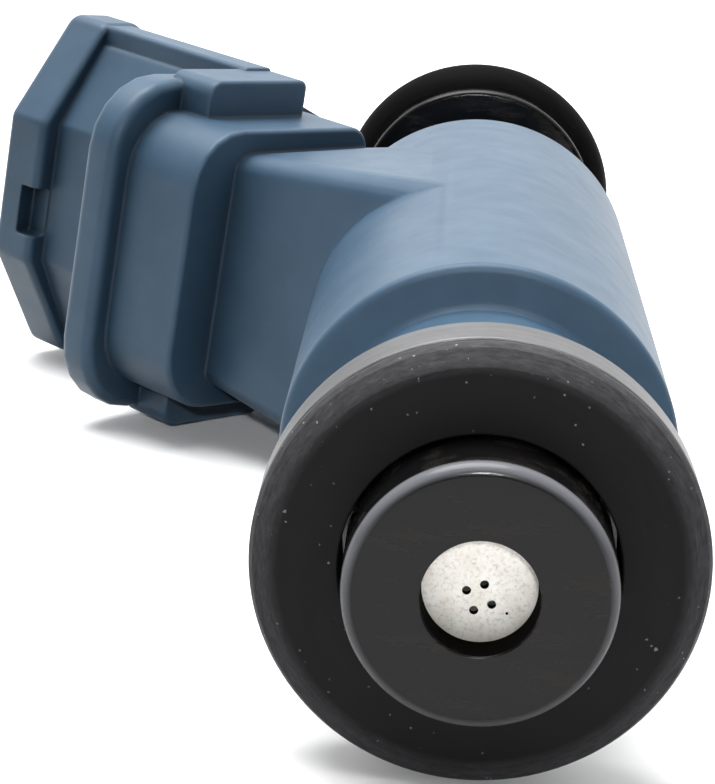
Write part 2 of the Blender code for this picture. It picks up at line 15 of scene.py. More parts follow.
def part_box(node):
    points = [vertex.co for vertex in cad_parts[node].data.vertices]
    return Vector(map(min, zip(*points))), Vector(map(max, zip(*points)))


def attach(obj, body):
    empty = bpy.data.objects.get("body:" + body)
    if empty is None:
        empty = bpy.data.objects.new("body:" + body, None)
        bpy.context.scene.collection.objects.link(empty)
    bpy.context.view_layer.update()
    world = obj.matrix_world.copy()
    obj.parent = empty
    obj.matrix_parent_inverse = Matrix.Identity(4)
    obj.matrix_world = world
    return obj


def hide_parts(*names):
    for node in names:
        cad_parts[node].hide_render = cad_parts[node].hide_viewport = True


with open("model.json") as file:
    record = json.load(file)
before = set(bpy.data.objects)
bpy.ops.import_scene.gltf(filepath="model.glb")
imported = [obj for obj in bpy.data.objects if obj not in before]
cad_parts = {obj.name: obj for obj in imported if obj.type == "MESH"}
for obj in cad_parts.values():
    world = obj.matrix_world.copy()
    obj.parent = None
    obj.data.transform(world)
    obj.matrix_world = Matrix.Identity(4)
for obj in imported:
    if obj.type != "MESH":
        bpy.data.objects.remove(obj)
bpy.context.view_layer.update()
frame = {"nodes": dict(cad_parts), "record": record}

MM = 0.001
RIDES_ON = "injector"
ROUND = 144                 # steps round the axis of a turned piece
CORNER = 5                  # steps round a moulded corner


def mount_axis(name):
    mounts = frame["record"]["mounts"]
    return Vector(next(mount["axis"] for mount in mounts if mount["name"] == name))


# Where the CAD lies: the axis point at the nozzle face, the roll about the axis, the connector's lean
ring_low, ring_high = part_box("seal_ring")
NOZZLE = (ring_low + ring_high) / 2
NOZZLE.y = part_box("nozzle_cap")[0].y
mouth_axis = mount_axis("connector_face")
ROLL = math.atan2(mouth_axis.z, -mouth_axis.x)
LEAN = math.asin(mouth_axis.y)
CONNECTOR_STATION = 33.1 * MM

INJECTOR = Matrix.Translation(NOZZLE) @ Matrix.Rotation(ROLL, 4, "Y")
CONNECTOR = (
    INJECTOR
    @ Matrix.Translation((0.0, CONNECTOR_STATION, 0.0))
    @ Matrix.Rotation(math.pi - LEAN, 4, "Z")
)


def stations(node):
    """The first and last station of a CAD node."""
    low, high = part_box(node)
    return low.y - NOZZLE.y, high.y - NOZZLE.y


def outer_radius(node):
    """The radius of a round CAD node, less a hair, so that a rounder piece stays inside its box."""
    reach = [
        math.hypot(vert.co.x - NOZZLE.x, vert.co.z - NOZZLE.z)
        for vert in frame["nodes"][node].data.vertices
    ]
    return max(reach) - 0.012 * MM


# Materials

class Look:
    """One Principled material, with its textures read in millimetres from the nozzle's centre."""

    def __init__(self, name, color, roughness, metallic=0.0, specular=0.5):
        self.material = bpy.data.materials.new(name)
        self.material.use_nodes = True
        self.material.diffuse_color = (*color, 1.0)
        self.tree = self.material.node_tree
        self.shader = self.tree.nodes["Principled BSDF"]
        self.shader.inputs["Base Color"].default_value = (*color, 1.0)
        self.shader.inputs["Roughness"].default_value = roughness
        self.shader.inputs["Metallic"].default_value = metallic
        self.shader.inputs["Specular IOR Level"].default_value = specular
        place = self.add("ShaderNodeTexCoord").outputs["Object"]
        centred = self.add(
            "ShaderNodeVectorMath", {0: place, 1: tuple(NOZZLE)}, operation="SUBTRACT"
        ).outputs[0]
        self.place = self.add(
            "ShaderNodeVectorMath", {0: centred, "Scale": 1.0 / MM}, operation="SCALE"
        ).outputs[0]
        self.normal = None

    def add(self, kind, inputs=None, **settings):
        made = self.tree.nodes.new(kind)
        for key, value in settings.items():
            setattr(made, key, value)
        for key, value in (inputs or {}).items():
            if isinstance(value, bpy.types.NodeSocket):
                self.tree.links.new(value, made.inputs[key])
            else:
                made.inputs[key].default_value = value
        return made

    def link(self, source, socket):
        self.tree.links.new(source, self.shader.inputs[socket])

    def math(self, operation, first, second=0.0):
        return self.add("ShaderNodeMath", {0: first, 1: second}, operation=operation).outputs[0]

    def noise(self, scale, detail=3.0, roughness=0.55, at=None):
        """Scale is in features per millimetre."""
        made = self.add(
            "ShaderNodeTexNoise",
            {"Vector": at or self.place, "Scale": scale, "Detail": detail, "Roughness": roughness},
        )
        return made.outputs["Fac"]

    def span(self, source, low, high, to_low=0.0, to_high=1.0):
        made = self.add(
            "ShaderNodeMapRange",
            {"Value": source, "From Min": low, "From Max": high, "To Min": to_low, "To Max": to_high},
        )
        return made.outputs["Result"]

    def blend(self, share, first, second):
        made = self.add("ShaderNodeMix", {"Factor": share}, data_type="RGBA")
        for key, value in (("A", first), ("B", second)):
            socket = next(s for s in made.inputs if s.name == key and s.type == "RGBA")
            if isinstance(value, bpy.types.NodeSocket):
                self.tree.links.new(value, socket)
            else:
                socket.default_value = (*value, 1.0)
        return next(s for s in made.outputs if s.type == "RGBA")

    def bump(self, height, depth, strength=1.0):
        """Adds relief of that depth in millimetres on top of any relief already there."""
        inputs = {"Height": height, "Distance": depth * MM, "Strength": strength}
        if self.normal is not None:
            inputs["Normal"] = self.normal
        self.normal = self.add("ShaderNodeBump", inputs).outputs["Normal"]
        self.link(self.normal, "Normal")

    def soft_corners(self, radius):
        """Shades the corners as if rounded, and returns how near an edge a point is."""
        bevel = self.add("ShaderNodeBevel", {"Radius": radius * MM}, samples=6).outputs["Normal"]
        flat = self.add("ShaderNodeNewGeometry").outputs["Normal"]
        same = self.add("ShaderNodeVectorMath", {0: bevel, 1: flat}, operation="DOT_PRODUCT")
        self.normal = bevel
        self.link(bevel, "Normal")
        return self.span(same.outputs["Value"], 0.995, 0.85)

    def recess(self, reach):
        """How deep in a hollow of its own object a point lies, from 0 on open faces to 1."""
        shut = self.add(
            "ShaderNodeAmbientOcclusion", {"Distance": reach * MM}, samples=8, only_local=True
        )
        return self.span(shut.outputs["AO"], 0.95, 0.4)

    def lathe(self):
        """The station, angle and radius of each point, in millimetres and radians."""
        split = self.add("ShaderNodeSeparateXYZ", {0: self.place})
        x, y, z = (split.outputs[k] for k in range(3))
        square = self.math("ADD", self.math("MULTIPLY", x, x), self.math("MULTIPLY", z, z))
        return y, self.math("ARCTAN2", z, x), self.math("SQRT", square)

    def polar(self, along, round_axis, out):
        """Texture coordinates of a lathe: station, angle and radius, each with its own stretch."""
        station, angle, radius = self.lathe()
        made = self.add(
            "ShaderNodeCombineXYZ",
            {
                0: self.math("MULTIPLY", station, along),
                1: self.math("MULTIPLY", angle, round_axis),
                2: self.math("MULTIPLY", radius, out),
            },
        )
        return made.outputs[0]

    def specks(self, per_mm, size, share):
        """1 at a few small irregular specks and 0 elsewhere; share is how many cells hold one."""
        warp = self.add("ShaderNodeTexNoise", {"Vector": self.place, "Scale": 9.0 * per_mm})
        moved = self.add(
            "ShaderNodeVectorMath",
            {0: warp.outputs["Color"], "Scale": 0.25 / per_mm}, operation="SCALE",
        )
        at = self.add("ShaderNodeVectorMath", {0: self.place, 1: moved.outputs[0]}, operation="ADD")
        cells = self.add("ShaderNodeTexVoronoi", {"Vector": at.outputs[0], "Scale": per_mm})
        near = self.span(cells.outputs["Distance"], size, size * 0.6)
        chosen = self.add("ShaderNodeSeparateXYZ", {0: cells.outputs["Color"]})
        rare = self.math("LESS_THAN", chosen.outputs[0], share)
        return self.math("MULTIPLY", near, rare)


def moulded_blue():
    """Slate-blue glass-filled nylon: mottled, faintly fibrous, paler where its edges are worn, and
    with painted shade in the connector's hollows.
    """
    look = Look("slate_blue_nylon", (0.05, 0.1, 0.15), 0.42, specular=0.3)
    edge = look.soft_corners(0.22)
    cloud = look.span(look.noise(0.35), 0.35, 0.65)
    base = look.blend(cloud, (0.040, 0.082, 0.132), (0.051, 0.098, 0.153))
    fibre_at = look.add("ShaderNodeMapping", {"Vector": look.place, "Scale": (14.0, 5.0, 14.0)})
    fibre = look.span(look.noise(1.0, 2.0, at=fibre_at.outputs[0]), 0.56, 0.78)
    base = look.blend(look.math("MULTIPLY", fibre, 0.1), base, (0.10, 0.155, 0.21))
    hollow = look.recess(5.0)
    outward = look.math("MULTIPLY", edge, look.span(hollow, 0.5, 0.1))
    wear_and_highlight = look.math("MULTIPLY", outward, look.span(look.noise(1.6, 4.0), 0.4, 0.7))
    base = look.blend(look.math("MULTIPLY", wear_and_highlight, 0.45), base, (0.16, 0.22, 0.28))
    # Painted shade: the base goes nearly black in the connector's hollows, out past the barrel
    _, _, radius = look.lathe()
    painted_shade = look.math("MULTIPLY", look.span(radius, 7.3, 8.6), hollow)
    base = look.blend(look.math("MULTIPLY", painted_shade, 0.9), base, (0.008, 0.018, 0.032))
    look.link(base, "Base Color")
    look.link(look.span(look.noise(0.8, 4.0), 0.3, 0.7, 0.41, 0.47), "Roughness")
    look.bump(look.noise(7.0, 4.0), 0.02, 0.25)
    look.bump(look.noise(0.25, 1.0), 0.12, 0.1)
    return look.material


def shadowed_bore():
    """The walls of the cap's bore and of the disc's holes: a nearly black, matt painted shade."""
    look = Look("bore_painted_shade", (0.002, 0.0018, 0.0016), 0.9, specular=0.02)
    # Painted shade: near-black, so that the bore and holes read as deep in shadow
    bore_shade = look.blend(look.noise(3.0), (0.0015, 0.0013, 0.0011), (0.004, 0.0034, 0.003))
    look.link(bore_shade, "Base Color")
    look.bump(look.noise(8.0), 0.02, 0.3)
    return look.material


def moulded_black(name="black_nylon", rim_highlight_from=None):
    """Satin black nylon with faint wiping marks, and a painted highlight that makes its front rim
    greyer and glossier.
    """
    look = Look(name, (0.004, 0.004, 0.0042), 0.24, specular=0.2)
    smear_at = look.add("ShaderNodeMapping", {
        "Vector": look.place, "Rotation": (0.0, math.radians(38.0), 0.0), "Scale": (0.35, 1.0, 1.7),
    })
    smear = look.span(look.noise(0.9, 5.0, 0.6, smear_at.outputs[0]), 0.5, 0.75)
    base = look.blend(smear, (0.003, 0.003, 0.0034), (0.016, 0.013, 0.011))
    rough = look.span(smear, 0.0, 1.0, 0.2, 0.4)
    if rim_highlight_from is not None:
        # Painted highlight: a grey ring on the front rim, where the light catches its rolled edge
        station, _, radius = look.lathe()
        front = look.span(station, 0.5, 0.35)
        rim = look.span(radius, rim_highlight_from - 0.1, rim_highlight_from + 0.08)
        wear_and_highlight = look.math("MULTIPLY", rim, front)
        base = look.blend(wear_and_highlight, base, (0.13, 0.133, 0.145))
        rough = look.math("MULTIPLY", rough, look.span(wear_and_highlight, 0.0, 1.0, 1.0, 0.6))
    look.link(base, "Base Color")
    look.link(rough, "Roughness")
    look.bump(look.noise(9.0, 4.0), 0.01, 0.35)
    return look.material


def seal_rubber(name="seal_rubber", dusty=True, ground_and_sheen_from=None, specular=0.14):
    """Matt black rubber with a little pale dust, greyer on its ground rim, partly from the grinding
    and partly as painted sheen.
    """
    look = Look(name, (0.004, 0.004, 0.0042), 0.55, specular=specular)
    ground = look.noise(1.0, 4.0, 0.6, look.polar(7.0, 5.0, 7.0))
    base = look.blend(look.span(ground, 0.35, 0.7), (0.003, 0.003, 0.0032), (0.0065, 0.006, 0.0062))
    if ground_and_sheen_from is not None:
        # The ground rim's grey is partly its ground finish and partly painted sheen from the light
        # above
        _, _, radius = look.lathe()
        zone = look.span(radius, ground_and_sheen_from - 0.3, ground_and_sheen_from + 0.2)
        scored = look.noise(1.0, 5.0, 0.7, look.polar(9.0, 14.0, 9.0))
        grey = look.blend(look.span(scored, 0.3, 0.72), (0.026, 0.025, 0.027), (0.075, 0.073, 0.079))
        base = look.blend(zone, base, grey)
    if dusty:
        dust = look.math("MAXIMUM", look.specks(1.1, 0.085, 0.5), look.specks(2.9, 0.12, 0.45))
        settled = look.span(look.noise(0.32, 2.0), 0.44, 0.56, 0.0, 0.7)
        base = look.blend(look.math("MULTIPLY", dust, settled), base, (0.42, 0.42, 0.41))
    look.link(base, "Base Color")
    look.link(look.span(ground, 0.3, 0.7, 0.52, 0.68), "Roughness")
    look.bump(ground, 0.02, 0.3)
    return look.material


def turned_steel(name, color, roughness, lines=16.0):
    """Steel with the fine rings that a lathe leaves, dulled in patches."""
    look = Look(name, color, roughness, metallic=1.0)
    rings = look.noise(1.0, 3.0, 0.65, look.polar(lines, 1.2, lines))
    dull = look.span(look.noise(0.9, 4.0), 0.35, 0.7)
    darker = tuple(0.72 * value for value in color)
    look.link(look.blend(look.math("MULTIPLY", dull, 0.6), color, darker), "Base Color")
    look.link(look.span(rings, 0.3, 0.7, roughness - 0.08, roughness + 0.12), "Roughness")
    look.bump(rings, 0.012, 0.5)
    return look.material


def etched_steel():
    """Bright metering disc: warm silver, finely grained by etching."""
    look = Look("etched_disc_steel", (0.93, 0.9, 0.86), 0.55, metallic=0.55)
    grain = look.noise(7.5, 5.0, 0.75)
    cloud = look.span(look.noise(1.3, 3.0), 0.35, 0.65)
    base = look.blend(cloud, (0.94, 0.915, 0.87), (0.86, 0.82, 0.755))
    base = look.blend(look.span(grain, 0.5, 0.68, 0.0, 0.8), base, (0.6, 0.56, 0.49))
    _, _, radius = look.lathe()
    # Painted shade: darker and browner towards the edge of the bore
    base = look.blend(look.span(radius, 1.65, 1.9, 0.0, 0.35), base, (0.58, 0.53, 0.45))
    look.link(base, "Base Color")
    look.link(look.span(grain, 0.3, 0.7, 0.48, 0.64), "Roughness")
    look.bump(grain, 0.02, 0.4)
    return look.material


def tinned_brass():
    """Drawn brass whose tin flash is worn through in patches."""
    look = Look("tinned_brass", (0.72, 0.66, 0.5), 0.3, metallic=1.0)
    worn = look.span(look.noise(1.8, 4.0), 0.45, 0.62)
    look.link(look.blend(worn, (0.76, 0.73, 0.66), (0.66, 0.5, 0.24)), "Base Color")
    drawn = look.add("ShaderNodeMapping", {"Vector": look.place, "Scale": (1.0, 14.0, 14.0)})
    look.bump(look.noise(1.0, 2.0, at=drawn.outputs[0]), 0.01, 0.4)
    look.link(look.span(worn, 0.0, 1.0, 0.24, 0.4), "Roughness")
    return look.material


def enamelled_copper():
    """Winding wire: the turns show as fine ridges along the axis."""
    look = Look("enamelled_copper", (0.55, 0.2, 0.08), 0.28, metallic=1.0)
    wire_pitch = 0.24
    split = look.add("ShaderNodeSeparateXYZ", {0: look.place})
    turns = look.math("SINE", look.math("MULTIPLY", split.outputs[1], math.tau / wire_pitch))
    tint = look.noise(1.0, 2.0, at=look.polar(4.0, 0.8, 1.0))
    copper = look.blend(look.span(tint, 0.3, 0.7), (0.6, 0.23, 0.09), (0.4, 0.12, 0.05))
    look.link(copper, "Base Color")
    look.link(look.span(turns, -1.0, 1.0, 0.4, 0.24), "Roughness")
    look.bump(turns, 0.06, 0.8)
    return look.material


def plain_nylon(name, light, dark):
    """Unpainted nylon with flow marks and a fine grain."""
    look = Look(name, light, 0.45)
    flow = look.span(look.noise(0.7, 4.0), 0.35, 0.65)
    look.link(look.blend(flow, light, dark), "Base Color")
    look.link(look.span(flow, 0.0, 1.0, 0.4, 0.52), "Roughness")
    look.bump(look.noise(8.0, 3.0), 0.02, 0.3)
    return look.material


def woven_wire():
    """Fine filter gauze: two sets of wires crossing, with dark gaps between them."""
    look = Look("woven_wire", (0.4, 0.4, 0.4), 0.4, metallic=1.0)
    at = look.add("ShaderNodeSeparateXYZ", {0: look.polar(1.0, 1.6, 1.0)})
    wire_pitch = 0.16
    turns = math.tau / wire_pitch
    along = look.math("SINE", look.math("MULTIPLY", at.outputs[0], turns))
    across = look.math("SINE", look.math("MULTIPLY", at.outputs[1], turns))
    wires = look.math("MAXIMUM", along, across)
    color = look.blend(look.span(wires, -0.2, 0.5), (0.02, 0.02, 0.02), (0.5, 0.49, 0.46))
    look.link(color, "Base Color")
    look.link(look.span(wires, -0.2, 0.5, 0.8, 0.35), "Roughness")
    look.bump(wires, 0.05, 0.8)
    return look.material


BLUE = moulded_blue()
BLACK = moulded_black()
# The cap's front rim carries a painted highlight
CAP_BLACK = moulded_black("cap_nylon", rim_highlight_from=4.02)
BORE = shadowed_bore()
# The seal's ground rim is greyed, partly as painted sheen
RUBBER = seal_rubber(ground_and_sheen_from=6.62)
O_RING_RUBBER = seal_rubber("o_ring_rubber", dusty=False, specular=0.02)
RING_STEEL = turned_steel("ring_steel", (0.165, 0.166, 0.17), 0.46)
TUBE_STEEL = turned_steel("tube_steel", (0.56, 0.555, 0.54), 0.3)
DISC_STEEL = etched_steel()
BRASS = turned_steel("turned_brass", (0.66, 0.5, 0.23), 0.26)
TINNED = tinned_brass()
NATURAL = plain_nylon("natural_nylon", (0.64, 0.61, 0.53), (0.52, 0.48, 0.4))
GAUZE = woven_wire()

# What the CAD nodes inside the moulding are made of, by slot
INNER_LOOKS = {
    "steel": turned_steel("inner_steel", (0.5, 0.5, 0.49), 0.3),
    "bright_steel": turned_steel("ground_steel", (0.72, 0.71, 0.68), 0.2, 24.0),
    "brown_plastic": plain_nylon("brown_nylon", (0.1, 0.05, 0.024), (0.07, 0.034, 0.016)),
    "copper_wire": enamelled_copper(),
    "rubber": seal_rubber("coil_seal_rubber", dusty=False),
}


# Mesh building

def softened(corners, steps=CORNER):
    """A closed outline from (a, b, radius) corners, each with a radius replaced by its arc."""
    result = []
    count = len(corners)
    for k, (a, b, radius) in enumerate(corners):
        corner = Vector((a, b))
        if radius <= 0.0:
            result.append(tuple(corner))
            continue
        before = (Vector(corners[k - 1][:2]) - corner).normalized()
        after = (Vector(corners[(k + 1) % count][:2]) - corner).normalized()
        half = before.angle(after) / 2
        middle = corner + (before + after).normalized() * radius / math.sin(half)
        first = corner + before * radius / math.tan(half) - middle
        last = corner + after * radius / math.tan(half) - middle
        turn = first.angle_signed(last)
        for j in range(steps + 1):
            offset = first.copy()
            offset.rotate(Matrix.Rotation(-turn * j / steps, 2))
            result.append(tuple(middle + offset))
    return result


def as_object(bm, name, look, matrix):
    """Links the mesh with its place in its vertices, as a CAD node has it."""
    bmesh.ops.transform(bm, matrix=matrix, verts=bm.verts)
    bmesh.ops.recalc_face_normals(bm, faces=bm.faces)
    mesh = bpy.data.meshes.new(name)
    bm.to_mesh(mesh)
    bm.free()
    made = bpy.data.objects.new(name, mesh)
    made.data.materials.append(look)
    bpy.context.scene.collection.objects.link(made)
    return made


def shaded(piece, angle=30.0):
    """Smooth shading with true corners kept, and flats that stay flat."""
    piece.data.shade_smooth()
    piece.data.set_sharp_from_angle(angle=math.radians(angle))
    weighted = piece.modifiers.new("weighted_normals", "WEIGHTED_NORMAL")
    weighted.keep_sharp = True
    return piece


def turned(name, outline, look, steps=ROUND):
    """A closed outline of (station, radius) points spun round the injector's axis."""
    bm = bmesh.new()
    points = [bm.verts.new((radius, station, 0.0)) for station, radius in outline]
    edges = []
    for start, end in zip(points, points[1:] + points[:1]):
        if start.co.x > 0.0 or end.co.x > 0.0:
            edges.append(bm.edges.new((start, end)))
    bmesh.ops.spin(
        bm, geom=points + edges, cent=(0, 0, 0), axis=(0, 1, 0),
        angle=math.tau, steps=steps, use_merge=True,
    )
    bmesh.ops.remove_doubles(bm, verts=bm.verts, dist=1e-7)
    return as_object(bm, name, look, INJECTOR)


def unchanged(c, q, t):
    return c, q, t


def swept(name, section, low, high, look, low_edge, high_edge, matrix=CONNECTOR, steps=CORNER,
          warp=unchanged):
    """section(inset) is an outline of (q, t) points, swept along c with rounded ends.

    warp(c, q, t) gives the place of each point.
    """
    stages = []
    for k in range(steps + 1):
        turn = math.pi / 2 * k / steps
        stages.append((low + low_edge * (1 - math.cos(turn)), low_edge * (1 - math.sin(turn))))
    for k in range(steps + 1):
        turn = math.pi / 2 * (1 - k / steps)
        stages.append((high - high_edge * (1 - math.cos(turn)), high_edge * (1 - math.sin(turn))))
    bm = bmesh.new()
    rings = [[bm.verts.new(warp(c, q, t)) for q, t in section(inset)] for c, inset in stages]
    count = len(rings[0])
    for first, second in zip(rings, rings[1:]):
        for k in range(count):
            after = (k + 1) % count
            bm.faces.new((first[k], first[after], second[after], second[k]))
    bm.faces.new(rings[0])
    bm.faces.new(rings[-1])
    bmesh.ops.remove_doubles(bm, verts=bm.verts, dist=1e-7)
    return as_object(bm, name, look, matrix)


def combine(target, others, operation):
    """Joins or cuts whole solids, and removes the ones that were used."""
    for other in others:
        step = target.modifiers.new(other.name, "BOOLEAN")
        step.operation = operation
        step.object = other
        step.solver = "EXACT"
        step.material_mode = "TRANSFER"
    graph = bpy.context.evaluated_depsgraph_get()
    mesh = bpy.data.meshes.new_from_object(target.evaluated_get(graph))
    target.modifiers.clear()
    target.data = mesh
    for other in others:
        bpy.data.objects.remove(other)
    return target


def fitted(piece, slot, *nodes):
    """The piece rides on the injector's body and stands for its CAD nodes."""
    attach(piece, RIDES_ON)
    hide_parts(*nodes)
    return piece


# Nozzle end

CAP_RADIUS = outer_radius("nozzle_cap")
CAP_BORE = 1.85 * MM
SEAL_RADIUS = outer_radius("lower_seal")


def nozzle_cap():
    """A cup over the nozzle: rolled front edge, flat face and a bore down to the disc."""
    _, back = stations("nozzle_cap")
    inner = 3.4 * MM
    web = 1.15 * MM
    outline = softened([
        (0.0, CAP_BORE, 0.07 * MM),
        (0.0, CAP_RADIUS - 0.02 * MM, 0.42 * MM),
        (1.4 * MM, CAP_RADIUS, 0.0),
        (back, CAP_RADIUS, 0.1 * MM),
        (back, inner, 0.0),
        (web, inner, 0.0),
        (web, CAP_BORE - 0.05 * MM, 0.0),
    ], 8)
    cap = shaded(turned("cap", outline, CAP_BLACK))
    # The bore's walls take BORE's painted shade
    cap.data.materials.append(BORE)
    for face in cap.data.polygons:
        middle = face.center - NOZZLE
        if math.hypot(middle.x, middle.z) < CAP_BORE and 0.05 * MM < middle.y < web:
            face.material_index = 1
    return cap


HOLE_RADIUS = 0.14 * MM
HOLE_CIRCLE = 0.45 * MM
HOLE_PATTERN_CENTRE = (0.05 * MM, -0.45 * MM)
HOLE_ANGLES = (78.0, 159.0, 258.0, 339.0)
PIT_CENTRE = (0.98 * MM, -0.82 * MM)
PIT_RADIUS = 0.045 * MM
PIT_DEPTH = 0.1 * MM


def drill(x, z, radius, low, high):
    """A cutter along the axis, whose look, BORE's painted shade, stays on the wall that it leaves."""
    bm = bmesh.new()
    place = Matrix.Translation((x, (low + high) / 2, z)) @ Matrix.Rotation(math.pi / 2, 4, "X")
    bmesh.ops.create_cone(
        bm, cap_ends=True, segments=32, radius1=radius, radius2=radius,
        depth=high - low, matrix=place,
    )
    return as_object(bm, "drill", BORE, INJECTOR)


def orifice_disc():
    """The metering disc, with a rolled edge, four drilled holes and one small pit."""
    front, back = stations("orifice_disc")
    radius = outer_radius("orifice_disc")
    outline = softened([
        (front, 0.0, 0.0),
        (front, radius, 0.06 * MM),
        (back, radius, 0.0),
        (back, 0.0, 0.0),
    ])
    disc = turned("disc", outline, DISC_STEEL, 96)
    above = front - 0.2 * MM
    drills = []
    for angle in HOLE_ANGLES:
        x = HOLE_PATTERN_CENTRE[0] + HOLE_CIRCLE * math.cos(math.radians(angle))
        z = HOLE_PATTERN_CENTRE[1] + HOLE_CIRCLE * math.sin(math.radians(angle))
        drills.append(drill(x, z, HOLE_RADIUS, above, back + 0.2 * MM))
    drills.append(drill(*PIT_CENTRE, PIT_RADIUS, above, front + PIT_DEPTH))
    return shaded(combine(disc, drills, "DIFFERENCE"))


def lower_seal():
    """A rubber ring with a ground bevel on its front edge."""
    front, back = stations("lower_seal")
    ring_front, _ = stations("seal_ring")
    flange = ring_front - 0.35 * MM
    inner = CAP_RADIUS + 0.15 * MM
    spigot = 6.1 * MM
    outline = softened([
        (front, inner, 0.08 * MM),
        (front, 6.6 * MM, 0.1 * MM),
        (front + 0.34 * MM, 7.16 * MM, 0.1 * MM),
        (front + 0.58 * MM, SEAL_RADIUS, 0.08 * MM),
        (flange, SEAL_RADIUS, 0.08 * MM),
        (flange, spigot, 0.0),
        (back, spigot, 0.0),
        (back, inner, 0.0),
    ])
    return shaded(turned("rubber_seal", outline, RUBBER))


def backing_ring():
    """The steel ring behind the rubber, with its turned corners broken."""
    front, back = stations("seal_ring")
    inner = 6.4 * MM
    outer = outer_radius("seal_ring")
    outline = softened([
        (front, inner, 0.0),
        (front, outer, 0.08 * MM),
        (back, outer, 0.08 * MM),
        (back, inner, 0.0),
    ])
    return shaded(turned("steel_ring", outline, RING_STEEL))


# Moulded body and connector

NECK_RADIUS = 5.55 * MM
BARREL_RADIUS = 7.2 * MM
SHOULDER = 14.5 * MM
BARREL_END = 47.0 * MM
COLLAR_RADII = (5.3 * MM, 5.1 * MM)     # at the barrel and at its end
TUBE_RADIUS = 3.2 * MM
GAP = 0.3 * MM                          # between the moulding and what it holds

MOUTH = 27.8 * MM
RIM_THICKNESS = 2.6 * MM
RIM_PROUD = 0.95 * MM       # how far the rim stands out of the shell
RIM_HALF_WIDTH = 8.3 * MM
RIM_NEAR = 3.4 * MM         # q of the rim's nozzle side and of its far side
RIM_FAR = -7.2 * MM
RIM_FLATS = (3.4 * MM, 5.6 * MM)        # half lengths of those two sides
RIM_SHOULDERS = (0.2 * MM, -1.8 * MM)   # q where the flats above and below start and end
SHELL_WALL = 1.0 * MM
SOCKET_FLOOR = 18.6 * MM
BLOCK_LOW = 11.2 * MM
BLOCK_HIGH = 17.3 * MM
LIP_THICKNESS = 1.9 * MM
PLATE_START = 13.6 * MM

# Slabs of the connector: near side, far side, half height, near and far corner radius
SHOULDER_SLAB = (7.0 * MM, -4.0 * MM, 6.4 * MM, 2.7 * MM, 1.2 * MM)
LIP_SLAB = (8.0 * MM, -3.7 * MM, 7.7 * MM, 3.3 * MM, 0.8 * MM)
PLATE_SLAB = (4.3 * MM, -1.9 * MM, RIM_HALF_WIDTH - 0.23 * MM, 0.7 * MM, 0.4 * MM)
RIDGE_SPAN = (6.9 * MM, RIM_HALF_WIDTH - 0.1 * MM)      # along t, above and below
RIDGE_SIDES = (0.1 * MM, -1.7 * MM)                     # along q

NECK_HALF_WIDTH = 4.6 * MM
NECK_START = -1.9 * MM      # just past the barrel's crown, and flush with it
NECK_HALF_HEIGHTS = (6.9 * MM, 5.2 * MM)       # at the barrel and at the shoulder block


def body_core():
    """The turned part of the moulding, solid: neck, barrel and the collar on the inlet tube."""
    front, back = stations("body_housing")
    outline = softened([
        (front, 0.0, 0.0),
        (front, NECK_RADIUS, 0.15 * MM),
        (SHOULDER, NECK_RADIUS, 0.2 * MM),
        (SHOULDER, BARREL_RADIUS, 0.3 * MM),
        (BARREL_END, BARREL_RADIUS, 0.55 * MM),
        (BARREL_END, COLLAR_RADII[0], 0.25 * MM),
        (back, COLLAR_RADII[1], 0.35 * MM),
        (back, 0.0, 0.0),
    ])
    return turned("body", outline, BLUE)


def body_hollow():
    """The space in the moulding: valve body, then solenoid housing, then inlet tube."""
    front, back = stations("body_housing")
    housing_front, housing_back = stations("solenoid_housing")
    core = outer_radius("solenoid_housing") + GAP
    core_front = housing_front - 0.7 * MM
    core_back = housing_back + 3.8 * MM
    neck_bore = 4.9 * MM
    outline = [(front - MM, 0.0), (front - MM, neck_bore), (core_front, neck_bore)]
    outline += [(core_front, core), (core_back, core), (core_back, TUBE_RADIUS + GAP)]
    outline += [(back + MM, TUBE_RADIUS + GAP), (back + MM, 0.0)]
    return turned("hollow", outline, BLUE, 96)


def slab_section(near, far, half, near_corner, far_corner):
    """A rectangle in (q, t) with rounded corners, as a function of its inset."""
    def section(inset):
        near_radius = max(near_corner - inset, 0.05 * MM)
        far_radius = max(far_corner - inset, 0.05 * MM)
        return softened([
            (near - inset, -half + inset, near_radius),
            (near - inset, half - inset, near_radius),
            (far + inset, half - inset, far_radius),
            (far + inset, -half + inset, far_radius),
        ])
    return section


def neck_warp(c, q, t):
    """Slants the neck's first section so that it runs along the barrel, and tapers it outwards."""
    end = BLOCK_LOW + MM
    first, last = NECK_HALF_HEIGHTS
    start = -(NECK_START + q * math.sin(LEAN)) / math.cos(LEAN)
    share = c / end
    return start + (end - start) * share, q, t * (1.0 - share * (1.0 - last / first))


def rim_section(wall):
    """The connector's six-sided section, with flats on the nozzle side and the far side."""
    def section(inset):
        total = wall + inset
        near = RIM_NEAR - total
        far = RIM_FAR + total
        peak = RIM_HALF_WIDTH - total
        near_half, far_half = RIM_FLATS
        start, end = RIM_SHOULDERS
        radius = max(0.7 * MM - total * 0.2, 0.3 * MM)
        corners = [(near, -near_half), (near, near_half), (start, peak), (end, peak)]
        corners += [(far, far_half), (far, -far_half), (end, -peak), (start, -peak)]
        return softened([(q, t, radius) for q, t in corners], 4)
    return section


